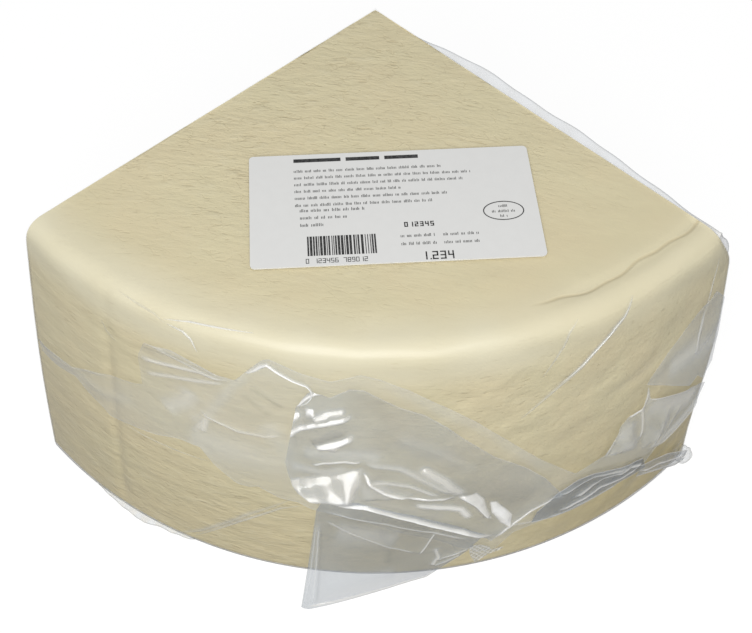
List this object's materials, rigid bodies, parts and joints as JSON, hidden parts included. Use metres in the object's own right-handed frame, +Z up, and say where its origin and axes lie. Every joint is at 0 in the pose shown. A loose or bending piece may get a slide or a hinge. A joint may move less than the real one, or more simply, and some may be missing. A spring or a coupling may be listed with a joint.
{
  "type": "vacuum-packed pecorino cheese wedge",
  "caption": "Quarter-round block of pale hard cheese with a rind top and side, sealed tightly in a clear bag whose slack end is folded over the front, with a white label on top.",
  "frame": {"origin": "middle of the bounding box's bottom, on the surface the cheese stands on", "axes": "+Z up, the curved rind side faces -Y, the two cut faces meet at +Y, +X is the longest extent"},
  "size_m": [0.2652, 0.1944, 0.1275],
  "materials": {
    "bag": "clear glossy film drawn tightly over pale straw-coloured cheese",
    "label": "smooth white thermal paper with grey-black print"
  },
  "bodies": {
    "root": {"bag": "bag", "label": "label"}
  },
  "joints": []
}
